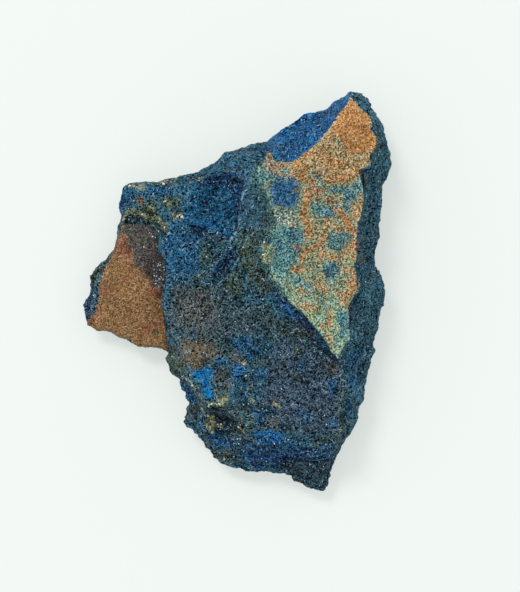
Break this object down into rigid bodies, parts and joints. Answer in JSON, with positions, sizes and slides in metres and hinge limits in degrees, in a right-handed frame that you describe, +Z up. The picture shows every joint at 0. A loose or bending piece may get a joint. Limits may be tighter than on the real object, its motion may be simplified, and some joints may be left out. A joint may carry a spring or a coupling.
{
  "type": "aerinite specimen",
  "caption": "Broken hand specimen of blue rock with a flat crusted top, a scooped hollow, stepped ledges and a low side plate; lies on its broad under side.",
  "frame": {"origin": "middle of the bounding box's under side, on the surface the stone lies on", "axes": "+Y towards the stone's pointed end, along its longest extent; +Z up, through its thickness; +X across it, towards its steep straight side"},
  "size_m": [0.0618, 0.0798, 0.0183],
  "materials": {
    "aerinite": "rough broken rock"
  },
  "bodies": {
    "root": {"aerinite_specimen": "aerinite"}
  },
  "joints": []
}
